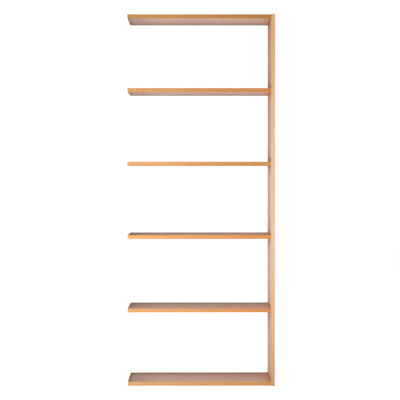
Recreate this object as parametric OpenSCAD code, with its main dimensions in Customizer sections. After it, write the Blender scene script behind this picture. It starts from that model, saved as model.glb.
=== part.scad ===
// Open shelving bay in oak-veneered board: one upright on the right carries six shelves.
// The free ends of the shelves hold the fittings for the upright of the bay beside it.
// +X points right, towards the upright. The front faces -Y. +Z is up.
// The origin is on the floor, under the middle of the bay.

/* [Bay] */
// Height of the upright
upright_h = 2000; // [1600:10:2200]
// Width from the free shelf ends to the outer face of the upright
bay_w = 792; // [400:1:900]
// Depth of the boards, front to back
bay_d = 285; // [270:1:400]
// Length of the upright that stands past the top shelf, and past the bottom one
upright_proud = 3.5; // [0:0.5:6]

/* [Boards] */
// Thickness of every board
board_t = 21; // [21:0.5:25]
// Thickness of the veneer on a board's two faces
veneer_t = 0.6; // [0.4:0.1:0.8]
// Thickness of the oak lipping on a board's edges
lipping_t = 2; // [1.5:0.5:3]
// Radius of the eased arrises along a lipping
arris_r = 0.8; // [0.5:0.1:1]
// Chamfer across the ends of the long lippings
end_ease = 0.5; // [0.3:0.1:0.8]

/* [Fitting places] */
// Distance of the outer fittings from the front and back edges
fitting_inset = 37; // [36:1:40]
// Gap between a connecting bolt and the dowel beside it
dowel_gap = 32; // [26:1:32]
// How much nearer to the middle the free-end fittings are than those at the upright
stagger = 16; // [14:1:16]
// Distance of a cam's axis from the end of the shelf
cam_depth = 34; // [34:1:40]

/* [Cams] */
// Radius of the cam bore in the underside of a shelf
cam_bore_r = 7.5; // [7.5:0.1:8]
// Depth of the cam bore
cam_bore_h = 15; // [15:0.1:15.5]
// Radius of a cam
cam_r = 7.4; // [7.3:0.05:7.4]
// Height of a cam
cam_h = 14.2; // [14:0.1:14.4]
// Distance of a cam's face above the underside of the shelf
cam_recess = 0.3; // [0.1:0.1:0.4]

/* [Bolts and inserts] */
// Radius of the bolt and dowel bores in the ends of a shelf
end_bore_r = 4; // [4:0.05:4.2]
// Radius of the dowel bores in the free ends, which slip over dowels glued into the next upright
free_dowel_bore_r = 4.2; // [4.2:0.05:4.3]
// Radius of a bolt's head
bolt_head_r = 3.4; // [3.2:0.1:3.4]
// Radius of a bolt's neck, which runs in the slot of the cam
bolt_neck_r = 2.2; // [1.8:0.1:2.2]
// Radius of a bolt's thread
thread_r = 2.95; // [2.5:0.05:2.95]
// Outer radius of an insert nut
insert_r = 5; // [4.5:0.1:5]
// Length of an insert nut
insert_l = 12; // [10:0.5:12]

/* [Dowels and caps] */
// Radius of a wooden dowel
dowel_r = 3.95; // [3.8:0.05:3.95]
// Length of a wooden dowel
dowel_l = 30; // [25:1:30]
// Depth of the dowel bores in the upright
dowel_seat = 10.5; // [9:0.5:11]
// Radius of a hole cap's head
cap_r = 6.5; // [6:0.5:8]
// Thickness of a hole cap's head
cap_t = 1.2; // [0.8:0.1:1.5]

/* [Hidden] */
$fn = 48;
shelf_count = 6;
SHELVES = [1 : shelf_count];
SIDES = ["left", "right"];
ROWS = ["front", "back"];
LAYERS = ["core", "veneers", "lippings"];

// The bay, in the part's own frame
shelf_l = bay_w - board_t;
shelf_pitch = (upright_h - 2 * upright_proud - board_t) / (shelf_count - 1);
x_free = -(bay_w + cap_t) / 2;
x_inner = x_free + shelf_l;
x_outer = x_inner + board_t;

// Fitting places. The front and back ones mirror each other about Y = 0.
bolt_y = bay_d / 2 - fitting_inset;
dowel_y = bolt_y - dowel_gap;
free_bolt_y = bolt_y - stagger;
free_dowel_y = dowel_y - stagger;
bolt_z = board_t / 2;
cut = 1;

// Cam: an off-centre pocket, with a slot for the bolt's neck and a mouth for its head
pocket_r = 5.6;
pocket_offset = 0.5;
pocket_play = 0.3;
mouth_play = 0.4;
slot_play = 0.2;
pocket_half = bolt_head_r + pocket_play;
mouth_half = bolt_head_r + mouth_play;
slot_half = bolt_neck_r + slot_play;
slot_depth_r = pocket_r / 2;
cam_turn = 180;
slot_lead = 26;
slot_sweep = cam_turn + slot_lead;
driver_w = 1.3;
driver_l = 7;
driver_h = 3.5;
arrow_h = 0.4;
arrow_l = 2;
arrow_inset = 0.5;

// Connecting bolt, measured from the face of the upright along the shelf
thread_l = 10.5;
collar_r = 3.7;
collar_l = 3;
shank_r = 3;
shank_short = 9;
head_short = 4;
shank_end = cam_depth - shank_short;
head_start = cam_depth - head_short;
head_l = 3;
bolt_ease = 0.6;

// Insert nut, dowel and cap
insert_spare = 0.5;
insert_bore = insert_l + insert_spare;
thread_play = 0.05;
insert_hole_r = thread_r + thread_play;
groove_h = 0.4;
groove_w = 1;
groove_pitch = 3;
dowel_ease = 1;
dowel_spare = 1.5;
dowel_bore = dowel_l - dowel_seat + dowel_spare;
dowel_end_gap = 0.5;
cap_stem_l = 6;
cap_play = 0.2;

// Joint line between the end lippings and the long ones
glue_line = 0.05;

function shelf_z(s) = upright_proud + (s - 1) * shelf_pitch;
function cam_name(s, side, row) = str("cam_", s, "_", side, "_", row);

// Section of a lipping: X runs outwards from the glue line, Y across the board
module lipping_section() {
    square([lipping_t - arris_r, board_t]);
    translate([0, arris_r]) square([lipping_t, board_t - 2 * arris_r]);
    for (y = [arris_r, board_t - arris_r]) {
        translate([lipping_t - arris_r, y]) circle(r = arris_r);
    }
}

// Lipping along +X, with its glue line on Y = 0 and its face towards +Y
module plain_strip(l) {
    rotate([90, 0, 90]) linear_extrude(height = l) lipping_section();
}

// Long lipping, which has its two end corners eased as well
module eased_strip(l) {
    face = lipping_t - end_ease;
    plan = [[0, 0], [l, 0], [l, face], [l - end_ease, lipping_t], [end_ease, lipping_t], [0, face]];
    intersection() {
        plain_strip(l);
        linear_extrude(height = board_t) polygon(plan);
    }
}

// A board lies along +X from X = 0, centred on Y, with its underside on Z = 0
module board_layer(l, z, t) {
    translate([lipping_t, lipping_t - bay_d / 2, z])
        cube([l - 2 * lipping_t, bay_d - 2 * lipping_t, t]);
}

module board_core(l) {
    board_layer(l, veneer_t, board_t - 2 * veneer_t);
}

module board_lower_veneer(l) {
    board_layer(l, 0, veneer_t);
}

module board_upper_veneer(l) {
    board_layer(l, board_t - veneer_t, veneer_t);
}

module board_back_lipping(l) {
    translate([0, bay_d / 2 - lipping_t, 0]) eased_strip(l);
}

module board_front_lipping(l) {
    mirror([0, 1, 0]) board_back_lipping(l);
}

module board_start_lipping() {
    translate([lipping_t, lipping_t + glue_line - bay_d / 2, 0])
        rotate([0, 0, 90]) plain_strip(bay_d - 2 * lipping_t - 2 * glue_line);
}

module board_end_lipping(l) {
    translate([l, 0, 0]) mirror([1, 0, 0]) board_start_lipping();
}

// Cylinder along +X from the origin
module x_cylinder(r, l) {
    rotate([0, 90, 0]) cylinder(r = r, h = l);
}

module oak_face() {
    color("#D6AC8C") children();
}

module oak_edge() {
    color("#DC9F63") children();
}

module chipboard() {
    color("#B08A5E") children();
}

// ---- Upright ----

module place_upright() {
    translate([x_outer, 0, 0]) rotate([0, -90, 0]) children();
}

// Bores on one face of the upright for the fittings of every shelf, along +X from X = 0
module face_bores(insert_y, peg_y) {
    for (s = SHELVES, side = [-1, 1]) {
        translate([-cut, side * insert_y, shelf_z(s) + bolt_z]) x_cylinder(insert_r, insert_bore + cut);
        translate([-cut, side * peg_y, shelf_z(s) + bolt_z]) x_cylinder(end_bore_r, dowel_seat + cut);
    }
}

module upright_bores() {
    translate([x_inner, 0, 0]) face_bores(bolt_y, dowel_y);
    translate([x_outer, 0, 0]) mirror([1, 0, 0]) face_bores(free_bolt_y, free_dowel_y);
}

module upright_core() {
    chipboard() difference() {
        place_upright() board_core(upright_h);
        upright_bores();
    }
}

module upright_inner_veneer() {
    oak_face() difference() {
        place_upright() board_upper_veneer(upright_h);
        upright_bores();
    }
}

module upright_outer_veneer() {
    oak_face() difference() {
        place_upright() board_lower_veneer(upright_h);
        upright_bores();
    }
}

module upright_front_lipping() {
    oak_edge() place_upright() board_front_lipping(upright_h);
}

module upright_back_lipping() {
    oak_edge() place_upright() board_back_lipping(upright_h);
}

module upright_bottom_lipping() {
    oak_edge() place_upright() board_start_lipping();
}

module upright_top_lipping() {
    oak_edge() place_upright() board_end_lipping(upright_h);
}

// ---- Shelves ----

module place_shelf(s) {
    translate([x_free, 0, shelf_z(s)]) children();
}

// Bores in one end of a shelf, where X is the depth from the end face
module end_bores(fitting_y, peg_y, peg_r) {
    for (side = [-1, 1]) {
        translate([cam_depth, side * fitting_y, -cut]) cylinder(r = cam_bore_r, h = cam_bore_h + cut);
        translate([-cut, side * fitting_y, bolt_z]) x_cylinder(end_bore_r, cam_depth + cut);
        translate([-cut, side * peg_y, bolt_z]) x_cylinder(peg_r, dowel_bore + cut);
    }
}

module shelf_bores() {
    end_bores(free_bolt_y, free_dowel_y, free_dowel_bore_r);
    translate([shelf_l, 0, 0]) mirror([1, 0, 0]) end_bores(bolt_y, dowel_y, end_bore_r);
}

module shelf_core(s) {
    chipboard() place_shelf(s) difference() {
        board_core(shelf_l);
        shelf_bores();
    }
}

module shelf_veneers(s) {
    oak_face() place_shelf(s) {
        board_upper_veneer(shelf_l);
        difference() {
            board_lower_veneer(shelf_l);
            shelf_bores();
        }
    }
}

module shelf_lippings(s) {
    oak_edge() place_shelf(s) {
        board_front_lipping(shelf_l);
        board_back_lipping(shelf_l);
        difference() {
            board_start_lipping();
            shelf_bores();
        }
        difference() {
            board_end_lipping(shelf_l);
            shelf_bores();
        }
    }
}

// ---- Cams ----

// Cam on the Z axis, seen with the shelf's underside on Z = 0 and its mouth facing +X
module cam() {
    pocket_z = bolt_z - pocket_half;
    difference() {
        translate([0, 0, cam_recess]) cylinder(r = cam_r, h = cam_h);
        translate([pocket_offset, 0, pocket_z]) cylinder(r = pocket_r, h = cam_h);
        translate([0, -mouth_half, pocket_z]) cube([2 * cam_r, 2 * mouth_half, cam_h]);
        translate([0, 0, bolt_z - slot_half]) rotate([0, 0, -slot_sweep])
            rotate_extrude(angle = slot_sweep) translate([slot_depth_r, 0]) square([cam_r, 2 * slot_half]);
        driver_recess();
        arrow();
    }
}

// Crossed slots for a screwdriver in the cam's face
module driver_recess() {
    for (turn = [0, 90]) {
        rotate([0, 0, turn]) translate([-driver_l / 2, -driver_w / 2, cam_recess - cut])
            cube([driver_l, driver_w, driver_h + cut]);
    }
}

// Groove in the cam's face that points to the mouth
module arrow() {
    tip = cam_r - arrow_inset;
    translate([0, 0, cam_recess - cut]) linear_extrude(height = arrow_h + cut)
        polygon([[tip, 0], [tip - arrow_l, arrow_l / 2], [tip - arrow_l, -arrow_l / 2]]);
}

// At the upright the cams are locked on their bolts. At the free end they stand open.
module cam_lock(s, side, row) {
    x = side == "left" ? cam_depth : shelf_l - cam_depth;
    y = side == "left" ? free_bolt_y : bolt_y;
    color("#B9BCC0") place_shelf(s)
        translate([x, row == "front" ? -y : y, 0]) rotate([0, 0, 180]) cam();
}

// ---- Fittings between the shelves and the upright ----

// Places a fitting at every shelf's front and back row, on the mid-plane of the board
module at_fittings(x, y) {
    for (s = SHELVES, side = [-1, 1]) {
        translate([x, side * y, shelf_z(s) + bolt_z]) children();
    }
}

// Turned profile of a bolt: X is the radius, Y the distance from the upright's face
module bolt_profile() {
    head_end = head_start + head_l;
    polygon([
        [0, -thread_l], [thread_r - bolt_ease, -thread_l], [thread_r, bolt_ease - thread_l],
        [thread_r, 0], [collar_r, 0], [collar_r, collar_l], [shank_r, collar_l],
        [shank_r, shank_end], [bolt_neck_r, shank_end], [bolt_neck_r, head_start],
        [bolt_head_r - bolt_ease, head_start], [bolt_head_r, head_start + bolt_ease],
        [bolt_head_r, head_end - bolt_ease], [bolt_head_r - bolt_ease, head_end], [0, head_end]
    ]);
}

module connecting_bolts() {
    color("#C9CBCE") at_fittings(x_inner, bolt_y)
        rotate([0, -90, 0]) rotate_extrude() bolt_profile();
}

module insert_nut() {
    difference() {
        x_cylinder(insert_r, insert_l);
        translate([-cut, 0, 0]) x_cylinder(insert_hole_r, insert_l + 2 * cut);
        for (x = [groove_pitch : groove_pitch : insert_l - groove_pitch]) {
            translate([x, 0, 0]) difference() {
                x_cylinder(insert_r + cut, groove_w);
                translate([-cut, 0, 0]) x_cylinder(insert_r - groove_h, groove_w + 2 * cut);
            }
        }
    }
}

module inner_insert_nuts() {
    color("#C2A25A") at_fittings(x_inner, bolt_y) insert_nut();
}

module outer_insert_nuts() {
    color("#C2A25A") at_fittings(x_outer, free_bolt_y) mirror([1, 0, 0]) insert_nut();
}

module dowels() {
    r_end = dowel_r - dowel_ease / 2;
    color("#E2C9A0") at_fittings(x_inner + dowel_seat - dowel_end_gap, dowel_y)
        rotate([0, -90, 0]) rotate_extrude() polygon([
            [0, 0], [r_end, 0], [dowel_r, dowel_ease],
            [dowel_r, dowel_l - dowel_ease], [r_end, dowel_l], [0, dowel_l]
        ]);
}

// Cap with its head on X = 0 and beyond, rounded at the rim, and its stem along -X
module hole_cap(stem_r) {
    rotate([0, 90, 0]) {
        rotate_extrude() {
            square([cap_r - cap_t, cap_t]);
            translate([cap_r - cap_t, 0]) intersection() {
                circle(r = cap_t);
                square(cap_t);
            }
        }
        translate([0, 0, -cap_stem_l]) cylinder(r = stem_r, h = cap_stem_l + cap_t / 2);
    }
}

module insert_hole_caps() {
    color("#B98A5E") at_fittings(x_outer, free_bolt_y) hole_cap(insert_hole_r - cap_play);
}

module dowel_hole_caps() {
    color("#B98A5E") at_fittings(x_outer, free_dowel_y) hole_cap(end_bore_r - cap_play);
}

upright_core();
upright_inner_veneer();
upright_outer_veneer();
upright_front_lipping();
upright_back_lipping();
upright_top_lipping();
upright_bottom_lipping();
for (s = SHELVES) {
    shelf_core(s);
    shelf_veneers(s);
    shelf_lippings(s);
}
for (s = SHELVES, side = SIDES, row = ROWS) {
    cam_lock(s, side, row);
}
connecting_bolts();
dowels();
inner_insert_nuts();
outer_insert_nuts();
insert_hole_caps();
dowel_hole_caps();
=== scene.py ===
"""Looks of the open shelving bay: oak veneer and lippings, chipboard, fittings, light and camera.

Every length is in metres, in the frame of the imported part: +X towards the upright, front at -Y.
"""

import math

import bpy
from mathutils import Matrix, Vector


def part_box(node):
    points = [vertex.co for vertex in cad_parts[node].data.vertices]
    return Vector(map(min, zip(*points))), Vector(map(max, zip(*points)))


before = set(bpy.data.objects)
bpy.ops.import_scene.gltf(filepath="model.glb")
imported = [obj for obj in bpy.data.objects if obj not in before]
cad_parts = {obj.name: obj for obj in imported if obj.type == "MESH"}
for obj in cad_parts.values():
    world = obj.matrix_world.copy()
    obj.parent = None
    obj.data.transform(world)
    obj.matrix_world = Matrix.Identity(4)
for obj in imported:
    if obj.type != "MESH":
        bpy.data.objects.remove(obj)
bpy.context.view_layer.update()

X, Y, Z = range(3)

# ---- Places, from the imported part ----
SHELVES = range(1, 7)
SHELF_BOXES = [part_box(f"shelf_{n}_lippings") for n in SHELVES]
LOWEST, HIGHEST = SHELF_BOXES[0]
X_FREE, X_INNER = LOWEST.x, HIGHEST.x
Y_FRONT, Y_BACK = LOWEST.y, HIGHEST.y
SHELF_T = HIGHEST.z - LOWEST.z
SHELF_Z = LOWEST.z + SHELF_T / 2
SHELF_PITCH = SHELF_BOXES[1][0].z - LOWEST.z
LIPPING_T = 0.002

# ---- Colours, linear RGB ----
FACE_LIGHT = (0.620, 0.409, 0.330)
FACE_DARK = (0.448, 0.273, 0.212)
SIDE_LIGHT = (0.700, 0.438, 0.312)
SIDE_DARK = (0.520, 0.300, 0.202)
EDGE_LIGHT = (0.502, 0.217, 0.050)
EDGE_DARK = (0.384, 0.148, 0.028)
PALE_EDGE_LIGHT = (0.570, 0.330, 0.178)
PALE_EDGE_DARK = (0.445, 0.235, 0.112)
# Brightness of each shelf's lippings and veneers, from the bottom shelf to the top one
EDGE_TONES = (1.15, 0.92, 1.01, 0.89, 0.84, 0.70)
FACE_TONES = (1.10, 1.08, 1.06, 1.10, 1.20, 1.13)
# How far each shelf's lippings go from the orange oak to the pale one. Below 0 is deeper orange.
EDGE_PALENESS = (0.38, 0.10, 0.05, 0.12, 0.0, -0.12)
INNER_TONE, OUTER_TONE, UPRIGHT_EDGE_TONE = 1.16, 1.0, 1.0

# ---- Painted shade and worn arrises: how far each darker zone reaches, and how dark it gets ----
# Painted shade, tinted by light bounced off the oak, where the shelves meet the upright
JOINT_SHADE_COLOUR = (0.450, 0.160, 0.045)
JOINT_SHADE_NEAR = (0.009, 0.38)
JOINT_SHADE_FAR = (0.050, 0.42)
JOINT_SHADE_EDGE = (0.006, 0.45)
# Painted shade towards each shelf's free end and its back edge
END_AND_BACK_SHADE_COLOUR = (0.165, 0.070, 0.048)
END_SHADE_NEAR = (0.028, 0.46)
END_SHADE_FAR = (0.190, 0.31)
BACK_EDGE_SHADE = (0.110, 0.38)
# The second largest part of the normal, where an arris starts to look worn and where it is worn
ARRIS_TILT = (0.1, 0.6)

# Tints along the boards: the axis, the place on it, how far the tint reaches, the tint at that
# place and the tint beyond its reach
SHELF_FACE_TINT = (Y, Y_FRONT, 0.20, (1.00, 1.03, 1.09), (1.00, 0.98, 0.94))
SHELF_EDGE_TINT = (X, X_FREE, X_INNER - X_FREE, (1.00, 1.08, 1.22), (0.98, 0.92, 0.82))
UPRIGHT_EDGE_TINT = (Z, 1.06, 0.85, (1.035, 1.21, 1.40), (0.935, 0.93, 0.90))
INNER_TINT = (Z, 0.90, 1.20, (1.11, 1.18, 1.24), (0.93, 0.86, 0.76))

# ---- The woods ----
# late_wood: where in a ring it starts, is darkest and ends. pore_size and fleck_size: how far from
# its middle a spot ends and is at its fullest, in cells. darkens, brightens and roughens: how much
# each detail of the grain does so. relief: the depth of the pores, in metres.
VENEER = {
    "late_wood": (0.35, 0.92, 0.93),
    "pore_size": (0.42, 0.16),
    "fleck_size": (0.25, 0.08),
    "darkens": {"late": 0.42, "streak": 0.50, "fibre": 0.45},
    "brightens": {"cloud": 0.10, "luck": 0.05, "pore": -0.42, "fleck": 0.09},
    "roughens": {"fibre": 0.10, "pore": 0.20},
    "brightness": 0.94,
    "roughness": 0.40,
    "relief": 0.00012,
}
LIPPING = {
    "late_wood": (0.30, 0.90, 0.90),
    "pore_size": (0.40, 0.18),
    "darkens": {"late": 0.35, "streak": 0.55, "fibre": 0.45},
    "brightens": {"cloud": 0.16, "pore": -0.30, "worn": 0.06},
    "roughens": {"fibre": 0.10, "pore": 0.18, "worn": -0.05},
    "brightness": 0.92,
    "roughness": 0.42,
    "relief": 0.00010,
}
DARK_FLOOR = 0.30  # darkening up to here leaves the wood at its light colour
RELIEF = {"pore": -1.0, "fibre": 0.25}
WOOD_GLOSS = 0.45
FIBRE_NOISE = {"detail": 4.0, "roughness": 0.65}

# ---- Veneer: crown-cut leaves ----
LEAF_W = 0.125
RING_W = 0.0075
HEART_DEPTH = 0.030  # from the leaf to the middle of the log
OFF_CENTRE = 0.8  # how far the middle of the arches strays in a leaf, in leaf widths
LOG_TAPER = 0.020  # how fast the rings widen along the grain
RING_SWAY = 0.030
RING_UNEVEN = 2.4
EARLY_WOOD = (0.45, 0.05)  # where in a ring it ends, and where it is at its fullest
LATE_PORES = 0.20  # the depth of a pore outside the early wood, where one inside it has 1
FLECKED_CLOUD = (0.45, 0.65)  # how bright a cloud is where flecks begin, and where they are full
# How often each detail changes in a metre, along the grain and across it or, for what makes the
# rings uneven, out from the middle of the log
VENEER_GRAIN = {
    "sway": (1.6, 7.0),
    "uneven": (3.0, 60.0),
    "cloud": (2.6, 9.0),
    "streak": (2.2, 75.0),
    "fibre": (8.0, 640.0),
    "pore": (130.0, 2100.0),
    "fleck": (95.0, 330.0),
}
# Leaves of one board are cut this far apart in the log, and boards this far apart
LEAF_STEP = 9.0
VENEER_STEP = (3.1, 0.037)
# Added to the places that are sampled, so that the random draws differ
BOARD_DRAW, SECOND_DRAW = 17.0, 400.0  # between boards, and between the two draws of a leaf
UNEVEN_LAYER, PORE_LAYER, FLECK_LAYER = 7.7, 0.0, 5.0
ACROSS_START = 4.0  # keeps the numbers of the leaves above zero

# ---- Lipping: straight-grained strips ----
STRIP_RING_W = 0.0042
STRIP_SLOPE = 0.35  # how much the rings slope through a strip
STRIP_SWAY = 0.007
STRIP_PORES = (0.60, 0.15, 0.25, 1.0)  # from 0.60 of a ring back to 0.15, pores go 0.25 to full
# The same as VENEER_GRAIN, along the grain, up the strip and through it
LIPPING_GRAIN = {
    "fibre": (5.0, 700.0, 700.0),
    "streak": (2.5, 120.0, 120.0),
    "pore": (110.0, 3000.0, 1500.0),
}
SWAY_GRAIN = (1.6, 20.0)
CLOUD_GRAIN = 3.4
LIPPING_STEP = (2.3, 0.71)
SWAY_LAYERS, CLOUD_LAYERS = 1.5, 4.0  # how far apart the boards' layers of noise are

# Seeds of the upright's pieces. The shelves use their own numbers.
INNER_SEED, OUTER_SEED, UPRIGHT_EDGE_SEED = 8.0, 11.0, 12.0


class Shader:
    """A material under construction: adds nodes and links sockets."""

    def __init__(self, name):
        self.material = bpy.data.materials.new(name)
        self.material.use_nodes = True
        self.tree = self.material.node_tree
        self.tree.nodes.clear()

    def add(self, kind, inputs=(), **settings):
        node = self.tree.nodes.new(kind)
        for key, value in settings.items():
            setattr(node, key, value)
        for key, value in dict(inputs).items():
            self.plug(value, node.inputs[key])
        return node

    def plug(self, value, socket):
        """Links a socket, or sets a plain value."""
        if isinstance(value, bpy.types.NodeSocket):
            self.tree.links.new(value, socket)
        else:
            socket.default_value = value

    def coordinates(self, output="Object"):
        return self.add("ShaderNodeTexCoord").outputs[output]

    def math(self, operation, *values, clamp=False):
        node = self.add("ShaderNodeMath", enumerate(values), operation=operation, use_clamp=clamp)
        return node.outputs[0]

    def plus(self, a, b):
        return self.math("ADD", a, b)

    def minus(self, a, b):
        return self.math("SUBTRACT", a, b)

    def times(self, a, b):
        return self.math("MULTIPLY", a, b)

    def over(self, a, b):
        return self.math("DIVIDE", a, b)

    def total(self, first, *others):
        for other in others:
            first = self.plus(first, other)
        return first

    def weighted(self, weights, parts, *start):
        """The start plus each part times its own weight."""
        return self.total(*start, *(self.times(parts[key], weights[key]) for key in weights))

    def vector(self, x, y, z):
        return self.add("ShaderNodeCombineXYZ", {"X": x, "Y": y, "Z": z}).outputs[0]

    def stretched(self, parts, scales):
        """A vector of parts, each times its own scale."""
        return self.vector(*(self.times(part, scale) for part, scale in zip(parts, scales)))

    def split(self, vector):
        node = self.add("ShaderNodeSeparateXYZ", {"Vector": vector})
        return node.outputs[0], node.outputs[1], node.outputs[2]

    def noise(self, vector, scale=1.0, detail=2.0, roughness=0.5):
        inputs = {"Vector": vector, "Scale": scale, "Detail": detail, "Roughness": roughness}
        return self.add("ShaderNodeTexNoise", inputs).outputs["Fac"]

    def cells(self, vector, output="Distance"):
        return self.add("ShaderNodeTexVoronoi", {"Vector": vector, "Scale": 1.0}).outputs[output]

    def spots(self, vector, size):
        """Spots scattered about: 1 in the middle of each one, and 0 between them."""
        return self.remap(self.cells(vector), *size)

    def random(self, value):
        node = self.add("ShaderNodeTexWhiteNoise", {"W": value}, noise_dimensions="1D")
        return node.outputs["Value"]

    def remap(self, value, low, high, to_low=0.0, to_high=1.0):
        inputs = {"Value": value, "From Min": low, "From Max": high}
        inputs.update({"To Min": to_low, "To Max": to_high})
        return self.add("ShaderNodeMapRange", inputs, interpolation_type="SMOOTHSTEP").outputs[0]

    def blend(self, share, a, b):
        """Colour a where share is 0, and b where it is 1."""
        factor, colour_a, colour_b, result = 0, 6, 7, 2
        node = self.add("ShaderNodeMix", data_type="RGBA")
        self.plug(share, node.inputs[factor])
        for value, index in ((a, colour_a), (b, colour_b)):
            self.plug((*value, 1.0) if isinstance(value, tuple) else value, node.inputs[index])
        return node.outputs[result]

    def tinted(self, colour, tint):
        """The colour times a tint, part by part. Both may pass 1."""
        node = self.add("ShaderNodeVectorMath", {0: colour, 1: tint}, operation="MULTIPLY")
        return node.outputs[0]

    def scaled(self, colour, value):
        return self.tinted(colour, self.vector(value, value, value))

    def bump(self, height, distance):
        return self.add("ShaderNodeBump", {"Height": height, "Distance": distance}).outputs[0]

    def finish(self, **sockets):
        """Links the surface. Names give the shader's sockets, with _ for a space."""
        inputs = {key.replace("_", " "): value for key, value in sockets.items()}
        surface = self.add("ShaderNodeBsdfPrincipled", inputs)
        output = self.add("ShaderNodeOutputMaterial")
        self.tree.links.new(surface.outputs[0], output.inputs[0])
        return self.material


def mixed(a, b, share):
    return tuple(p + (q - p) * share for p, q in zip(a, b))


# ---- Painted shade, tints and worn arrises ----
def gap_to_side(s):
    """Distance along a shelf to the upright's inner face."""
    return s.minus(X_INNER, s.split(s.coordinates())[X])


def gap_to_shelves(s):
    """Distance up or down the upright to the nearest shelf."""
    z = s.split(s.coordinates())[Z]
    steps = s.over(s.minus(z, SHELF_Z), SHELF_PITCH)
    off = s.minus(s.math("FRACT", s.plus(steps, 0.5)), 0.5)
    away = s.times(s.math("ABSOLUTE", off), SHELF_PITCH)
    return s.minus(away, SHELF_T / 2)


def shade(s, gap, zone):
    """How strong the painted shade is at this distance from an edge or joint."""
    reach, strength = zone
    return s.remap(gap, reach, 0.0, 0.0, strength)


def painted_end_and_back_shade(s):
    """Painted shade on a shelf: darker towards its free end, and more softly towards its back."""
    x, y, _ = s.split(s.coordinates())
    end = s.minus(x, X_FREE)
    dark_end = s.plus(shade(s, end, END_SHADE_NEAR), shade(s, end, END_SHADE_FAR))
    dark_back = shade(s, s.minus(Y_BACK, y), BACK_EDGE_SHADE)
    return s.minus(1.0, s.times(s.minus(1.0, dark_end), s.minus(1.0, dark_back)))


def slow_tint(s, wood, tint):
    """The wood times a tint that changes slowly along a board."""
    axis, centre, reach, there, beyond = tint
    off = s.math("ABSOLUTE", s.minus(s.split(s.coordinates())[axis], centre))
    return s.tinted(wood, s.blend(s.remap(off, reach, 0.0), beyond, there))


def worn_arris(s):
    """1 on the eased arrises, 0 on the flats, from the surface's own normal."""
    a, b, c = (s.math("ABSOLUTE", part) for part in s.split(s.coordinates("Normal")))
    pairs = [s.math("MINIMUM", *pair) for pair in ((a, b), (b, c), (a, c))]
    second = s.math("MAXIMUM", s.math("MAXIMUM", pairs[0], pairs[1]), pairs[2])
    return s.remap(second, *ARRIS_TILT)


# ---- Oak ----
def late_wood(s, ring, look):
    """Late wood darkens through each ring, and stops short at its end."""
    start, darkest, end = look["late_wood"]
    return s.times(s.remap(ring, start, darkest), s.remap(ring, 1.0, end))


def grain_colour(s, parts, look, light, dark):
    """Light wood, and darker where the details of the grain add up."""
    darker = s.weighted(look["darkens"], parts)
    return s.blend(s.math("SUBTRACT", darker, DARK_FLOOR, clamp=True), light, dark)


def oak_surface(s, wood, parts, look, tone):
    """The wood with the brightness, sheen and relief of its grain."""
    return s.finish(
        Base_Color=s.scaled(wood, s.weighted(look["brightens"], parts, tone * look["brightness"])),
        Roughness=s.weighted(look["roughens"], parts, look["roughness"]),
        Specular_IOR_Level=WOOD_GLOSS,
        Normal=s.bump(s.weighted(RELIEF, parts), look["relief"]),
    )


def crown_rings(s, along, across, luck, sway, uneven_at):
    """Where in a growth ring each place is: cones round the log's middle, cut by a flat leaf.

    uneven_at builds the noise that makes the rings uneven, from the distance to the middle.
    """
    centre = s.minus(s.math("FRACT", s.over(across, LEAF_W)), 0.5)
    shift = s.times(s.minus(luck, 0.5), OFF_CENTRE)
    radius = s.plus(s.times(s.plus(centre, shift), LEAF_W), sway)
    radius = s.math("SQRT", s.plus(s.times(radius, radius), HEART_DEPTH**2))
    radius = s.plus(radius, s.times(along, LOG_TAPER))
    uneven = s.times(uneven_at(radius), RING_UNEVEN)
    return s.math("FRACT", s.plus(s.over(radius, RING_W), uneven))


def oak_veneer(name, grain, seed, tone, light, dark, joint_gap=None, tint=None):
    """Crown-cut oak: leaves side by side, arched growth rings, pores, flecks and fibre.

    joint_gap builds the distance to a joint, near which painted shade darkens the wood.
    """
    s = Shader(name)
    x, across, z = s.split(s.coordinates())
    along = s.plus(x if grain == "x" else z, VENEER_STEP[0] * seed)
    across = s.plus(across, VENEER_STEP[1] * seed + ACROSS_START)

    # Each leaf is cut from another part of the log
    leaf = s.math("FLOOR", s.over(across, LEAF_W))
    luck = s.random(s.plus(leaf, BOARD_DRAW * seed))
    luck_2 = s.random(s.plus(leaf, BOARD_DRAW * seed + SECOND_DRAW))
    along = s.plus(along, s.times(luck, LEAF_STEP))

    def spot(detail, depth, sideways=across):
        """The place to sample one detail of the wood at."""
        lengthways, crossways = VENEER_GRAIN[detail]
        return s.vector(s.times(along, lengthways), s.times(sideways, crossways), depth)

    def uneven_at(radius):
        return s.noise(spot("uneven", UNEVEN_LAYER, radius), detail=1.0)

    sway = s.times(s.minus(s.noise(spot("sway", luck)), 0.5), RING_SWAY)
    ring = crown_rings(s, along, across, luck_2, sway, uneven_at)
    early = s.remap(ring, *EARLY_WOOD)
    cloud = s.noise(spot("cloud", luck))
    pore = s.spots(spot("pore", PORE_LAYER), VENEER["pore_size"])
    pore_depth = s.math("MULTIPLY_ADD", early, 1.0 - LATE_PORES, LATE_PORES)
    fleck = s.spots(spot("fleck", FLECK_LAYER), VENEER["fleck_size"])
    parts = {
        "late": late_wood(s, ring, VENEER),
        "streak": s.noise(spot("streak", luck_2)),
        "fibre": s.noise(spot("fibre", luck), **FIBRE_NOISE),
        "cloud": cloud,
        "luck": luck,
        "pore": s.times(pore, pore_depth),
        "fleck": s.times(fleck, s.remap(cloud, *FLECKED_CLOUD)),
    }

    wood = grain_colour(s, parts, VENEER, light, dark)
    # Painted shade near the joint between the shelves and the upright
    if joint_gap:
        gap = joint_gap(s)
        joint = s.plus(shade(s, gap, JOINT_SHADE_NEAR), shade(s, gap, JOINT_SHADE_FAR))
        wood = s.blend(joint, wood, JOINT_SHADE_COLOUR)
    # Painted shade towards the shelf's free end and its back
    if grain == "x":
        wood = s.blend(painted_end_and_back_shade(s), wood, END_AND_BACK_SHADE_COLOUR)
    if tint:
        wood = slow_tint(s, wood, tint)
    return oak_surface(s, wood, parts, VENEER, tone)


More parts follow.
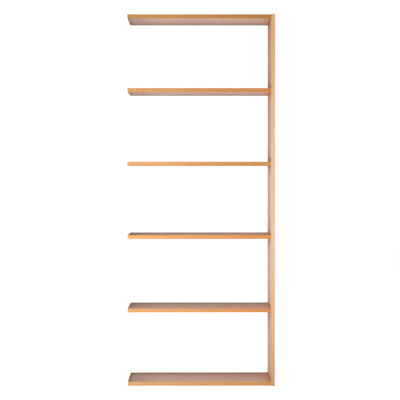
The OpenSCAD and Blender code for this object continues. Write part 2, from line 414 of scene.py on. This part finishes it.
def strip_place(s, grain, end_strips):
    """The directions along a strip, across it and up it."""
    x, y, z = s.split(s.coordinates())
    if grain == "y":
        return y, z, x
    if grain == "z":
        return z, y, x
    low, high = end_strips
    crosswise = s.plus(s.math("LESS_THAN", x, low), s.math("GREATER_THAN", x, high))
    lengthwise = s.minus(1.0, crosswise)
    along = s.plus(s.times(x, lengthwise), s.times(y, crosswise))
    across = s.plus(s.times(y, lengthwise), s.times(x, crosswise))
    return along, across, z


def oak_lipping(name, grain, seed, tone, light, dark, end_strips=None, tint=None):
    """Straight-grained strips. Strips beyond the two end_strips, in X, run across instead."""
    s = Shader(name)
    along, across, rise = strip_place(s, grain, end_strips)
    along = s.plus(along, LIPPING_STEP[0] * seed)
    rise = s.plus(rise, LIPPING_STEP[1] * seed)

    sway_place = (s.times(part, scale) for part, scale in zip((along, rise), SWAY_GRAIN))
    sway = s.noise(s.vector(*sway_place, SWAY_LAYERS * seed), detail=1.0)
    side = s.total(rise, s.times(across, STRIP_SLOPE), s.times(sway, STRIP_SWAY))
    ring = s.math("FRACT", s.over(side, STRIP_RING_W))

    place = (along, rise, across)
    spot = {detail: s.stretched(place, scales) for detail, scales in LIPPING_GRAIN.items()}
    cloud = s.vector(s.times(along, CLOUD_GRAIN), CLOUD_LAYERS * seed, 0.0)
    pore = s.spots(spot["pore"], LIPPING["pore_size"])
    parts = {
        "late": late_wood(s, ring, LIPPING),
        "streak": s.noise(spot["streak"]),
        "fibre": s.noise(spot["fibre"], **FIBRE_NOISE),
        "cloud": s.noise(cloud),
        "pore": s.times(pore, s.remap(ring, *STRIP_PORES)),
        "worn": worn_arris(s),
    }

    wood = grain_colour(s, parts, LIPPING, light, dark)
    # Painted shade on the shelf's lippings next to the upright
    if grain == "x":
        wood = s.blend(shade(s, gap_to_side(s), JOINT_SHADE_EDGE), wood, JOINT_SHADE_COLOUR)
    if tint:
        wood = slow_tint(s, wood, tint)
    return oak_surface(s, wood, parts, LIPPING, tone)


# ---- Chipboard, metals, beech and plastic ----
# Scales and grains say how often a detail changes in a metre.
def chipboard():
    """Raw three-layer chipboard: flat flakes of pale and brown wood."""
    pale, brown = (0.58, 0.41, 0.24), (0.30, 0.18, 0.085)
    flake_grain = (320.0, 320.0, 600.0)
    gap_place = (0.45, 0.75)
    s = Shader("chipboard")
    place = s.coordinates()
    flakes = s.stretched(s.split(place), flake_grain)
    tone = s.split(s.cells(flakes, "Color"))[0]
    parts = {"grit": s.noise(place, scale=2600.0), "gap": s.remap(s.cells(flakes), *gap_place)}
    brightness = s.weighted({"grit": 0.40, "gap": -0.30}, parts, 0.80)
    height = s.weighted({"grit": 0.5, "gap": -1.0}, parts, tone)
    return s.finish(
        Base_Color=s.scaled(s.blend(tone, pale, brown), brightness),
        Roughness=0.88,
        Normal=s.bump(height, 0.0003),
    )


def cast_zinc():
    """Die-cast zinc: dull, with fine casting skin and a few darker rubs."""
    light, dark = (0.60, 0.61, 0.63), (0.36, 0.37, 0.39)
    rubbed = (0.35, 0.70)
    s = Shader("cast_zinc")
    place = s.coordinates()
    skin = s.noise(place, scale=3200.0, detail=3.0)
    rub = s.noise(place, scale=260.0, detail=3.0, roughness=0.6)
    return s.finish(
        Base_Color=s.blend(s.remap(rub, *rubbed), light, dark),
        Metallic=1.0,
        Roughness=s.weighted({"skin": 0.20, "rub": 0.14}, {"skin": skin, "rub": rub}, 0.36),
        Normal=s.bump(skin, 0.00004),
    )


def turned_metal(name, light, dark, roughness):
    """Turned on a lathe about X: fine rings, stained a little where it was handled."""
    tool_grain = (5200.0, 60.0, 60.0)
    stained = (0.40, 0.75)
    s = Shader(name)
    place = s.coordinates()
    tool = s.noise(s.stretched(s.split(place), tool_grain))
    stain = s.noise(place, scale=190.0, detail=3.0)
    parts = {"tool": tool, "stain": stain}
    return s.finish(
        Base_Color=s.blend(s.remap(stain, *stained), light, dark),
        Metallic=1.0,
        Roughness=s.weighted({"tool": 0.16, "stain": 0.10}, parts, roughness),
        Normal=s.bump(tool, 0.00003),
    )


def beech():
    """Rolled beech dowel: pale, with short brown ray flecks along X."""
    pale, brown = (0.68, 0.46, 0.27), (0.55, 0.34, 0.18)
    fibre_grain, fleck_grain = (30.0, 900.0, 900.0), (420.0, 1900.0, 1900.0)
    fleck_size = (0.30, 0.12)
    s = Shader("beech")
    place = s.split(s.coordinates())
    fleck = s.spots(s.stretched(place, fleck_grain), fleck_size)
    fibre = s.noise(s.stretched(place, fibre_grain))
    brightness = s.math("MULTIPLY_ADD", fleck, -0.28, 1.0)
    return s.finish(
        Base_Color=s.scaled(s.blend(fibre, pale, brown), brightness),
        Roughness=0.65,
        Normal=s.bump(fibre, 0.0001),
    )


def cap_plastic():
    """Oak-coloured moulded plastic with a fine matt grain."""
    light, dark = (0.47, 0.245, 0.105), (0.41, 0.205, 0.085)
    flow_mix = (0.3, 0.7)
    s = Shader("cap_plastic")
    place = s.coordinates()
    grain = s.noise(place, scale=1900.0)
    flow = s.noise(place, scale=90.0)
    return s.finish(
        Base_Color=s.blend(s.remap(flow, *flow_mix), light, dark),
        Roughness=s.math("MULTIPLY_ADD", grain, 0.14, 0.42),
        Normal=s.bump(grain, 0.00004),
    )


def dress(node, material):
    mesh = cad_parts[node].data
    mesh.materials.clear()
    mesh.materials.append(material)


# ---- Boards ----
core = chipboard()
for i, n in enumerate(SHELVES):
    low, high = SHELF_BOXES[i]
    veneer = oak_veneer(
        f"oak_veneer_shelf_{n}",
        "x",
        n,
        FACE_TONES[i],
        FACE_LIGHT,
        FACE_DARK,
        joint_gap=gap_to_side,
        tint=SHELF_FACE_TINT,
    )
    lipping = oak_lipping(
        f"oak_lipping_shelf_{n}",
        "x",
        n,
        EDGE_TONES[i],
        mixed(EDGE_LIGHT, PALE_EDGE_LIGHT, EDGE_PALENESS[i]),
        mixed(EDGE_DARK, PALE_EDGE_DARK, EDGE_PALENESS[i]),
        end_strips=(low.x + LIPPING_T, high.x - LIPPING_T),
        tint=SHELF_EDGE_TINT,
    )
    dress(f"shelf_{n}_core", core)
    dress(f"shelf_{n}_veneers", veneer)
    dress(f"shelf_{n}_lippings", lipping)
dress("upright_core", core)
for side, seed, tone, joint_gap, tint in (
    ("inner", INNER_SEED, INNER_TONE, gap_to_shelves, INNER_TINT),
    ("outer", OUTER_SEED, OUTER_TONE, None, None),
):
    veneer = oak_veneer(
        f"oak_veneer_{side}",
        "z",
        seed,
        tone,
        SIDE_LIGHT,
        SIDE_DARK,
        joint_gap=joint_gap,
        tint=tint,
    )
    dress(f"upright_{side}_veneer", veneer)
for i, (edge, grain, tint) in enumerate((
    ("front", "z", UPRIGHT_EDGE_TINT),
    ("back", "z", UPRIGHT_EDGE_TINT),
    ("top", "y", None),
    ("bottom", "y", None),
)):
    seed = UPRIGHT_EDGE_SEED + i
    pale = (PALE_EDGE_LIGHT, PALE_EDGE_DARK)
    lipping = oak_lipping(
        f"oak_lipping_{edge}", grain, seed, UPRIGHT_EDGE_TONE, *pale, tint=tint
    )
    dress(f"upright_{edge}_lipping", lipping)

# ---- Fittings ----
zinc = cast_zinc()
for n in SHELVES:
    for side in ("left", "right"):
        for row in ("front", "back"):
            dress(f"cam_{n}_{side}_{row}", zinc)
plated_steel = turned_metal("plated_steel", (0.72, 0.73, 0.75), (0.52, 0.53, 0.56), 0.20)
dress("connecting_bolts", plated_steel)
brass = turned_metal("brass", (0.72, 0.50, 0.20), (0.52, 0.33, 0.12), 0.24)
dress("inner_insert_nuts", brass)
dress("outer_insert_nuts", brass)
dress("dowels", beech())
plastic = cap_plastic()
dress("insert_hole_caps", plastic)
dress("dowel_hole_caps", plastic)


# ---- Stage ----
def add_to_scene(name, data):
    item = bpy.data.objects.new(name, data)
    bpy.context.scene.collection.objects.link(item)
    return item


def add_floor(half_size, glow):
    """A pale floor that glows a little to the camera, so that it meets the white behind it."""
    grey, pale = (0.56, 0.56, 0.56), (0.60, 0.60, 0.60)
    white = (1.0, 1.0, 1.0, 1.0)
    corners = [(-1, -1), (1, -1), (1, 1), (-1, 1)]
    mesh = bpy.data.meshes.new("floor")
    mesh.from_pydata([(half_size * a, half_size * b, 0.0) for a, b in corners], [], [(0, 1, 2, 3)])
    s = Shader("pale_floor")
    speckle = s.noise(s.coordinates(), scale=40.0, detail=3.0)
    tint = s.blend(speckle, grey, pale)
    seen = s.times(s.add("ShaderNodeLightPath").outputs["Is Camera Ray"], glow)
    mesh.materials.append(
        s.finish(Base_Color=tint, Roughness=0.9, Emission_Color=white, Emission_Strength=seen)
    )
    floor = add_to_scene("floor", mesh)


def add_softbox(name, place, target, size, power, gloss=False, beam=math.pi):
    """A rectangular light. Without gloss it fills the shadows and shows in no reflection."""
    light = bpy.data.lights.new(name, "AREA")
    light.shape = "RECTANGLE"
    light.size, light.size_y = size
    light.energy = power
    light.spread = beam
    lamp = add_to_scene(name, light)
    lamp.location = place
    x, y, z = (t - p for t, p in zip(target, place))
    lamp.rotation_euler = (math.pi / 2 + math.atan2(z, math.hypot(x, y)), 0.0, math.atan2(-x, y))
    lamp.visible_camera = False
    lamp.visible_glossy = gloss


def set_world(seen, front, back, fade):
    """White behind the object, and a soft glow all round it that fades from front to back."""
    world = bpy.data.worlds.new("studio")
    bpy.context.scene.world = world
    world.use_nodes = True
    tree = world.node_tree
    tree.nodes.clear()

    def add(kind, **values):
        node = tree.nodes.new(kind)
        for key, value in values.items():
            node.inputs[key.replace("_", " ")].default_value = value
        return node

    white = (1.0, 1.0, 1.0, 1.0)
    place = add("ShaderNodeTexCoord")
    parts = add("ShaderNodeSeparateXYZ")
    start, end = fade
    ramp = add("ShaderNodeMapRange", From_Min=start, From_Max=end, To_Min=front, To_Max=back)
    ramp.interpolation_type = "SMOOTHSTEP"
    glow = add("ShaderNodeBackground", Color=white)
    backdrop = add("ShaderNodeBackground", Color=white, Strength=seen)
    path = add("ShaderNodeLightPath")
    mix = add("ShaderNodeMixShader")
    output = add("ShaderNodeOutputWorld")
    for source, socket in (
        (place.outputs["Generated"], parts.inputs[0]),
        (parts.outputs[Y], ramp.inputs["Value"]),
        (ramp.outputs[0], glow.inputs["Strength"]),
        (path.outputs["Is Camera Ray"], mix.inputs[0]),
        (glow.outputs[0], mix.inputs[1]),
        (backdrop.outputs[0], mix.inputs[2]),
        (mix.outputs[0], output.inputs[0]),
    ):
        tree.links.new(source, socket)


CENTRE = (0.0, 0.0, 1.0)
BACK_BEAM = math.radians(36.0)
add_floor(half_size=12.0, glow=0.78)
set_world(seen=1.05, front=1.00, back=0.10, fade=(-0.9, 0.25))
# Softboxes: the place, the point each one faces, its size and its power in watts
add_softbox("front_softbox", (-1.25, -1.75, 1.00), CENTRE, (0.9, 1.3), 37.0, gloss=True)
add_softbox("floor_bounce", (-0.2, -1.15, 0.01), (-0.2, -1.149, 2.0), (2.0, 1.3), 17.0)
add_softbox("overhead_softbox", (-0.4, -1.5, 2.9), (0.0, 0.0, 0.9), (1.2, 0.8), 13.0, gloss=True)
add_softbox("top_softbox", (0.0, -0.05, 3.3), (0.0, -0.051, 0.0), (0.5, 0.5), 14.0)
add_softbox("back_softbox", (0.9, 8.0, 1.0), CENTRE, (2.6, 0.9), 34.0, beam=BACK_BEAM)
add_softbox("side_softbox", (3.4, -0.6, 1.3), CENTRE, (1.8, 1.8), 34.0)

# ---- Camera ----
CAMERA_PLACE = (-0.0383, -6.0208, 1.1330)
PITCH_DOWN, YAW_RIGHT = 0.01314, 0.00523
LENS_MM, SENSOR_MM = 98.645, 36.0
SHIFT_UP = -0.025
FAR_CLIP = 60.0
camera_data = bpy.data.cameras.new("camera")
camera_data.sensor_width = SENSOR_MM
camera_data.lens = LENS_MM
camera_data.shift_y = SHIFT_UP
camera_data.clip_end = FAR_CLIP
camera = add_to_scene("camera", camera_data)
camera.location = CAMERA_PLACE
camera.rotation_euler = (math.pi / 2 - PITCH_DOWN, 0.0, -YAW_RIGHT)
bpy.context.scene.camera = camera
bpy.context.scene.view_settings.view_transform = "Standard"
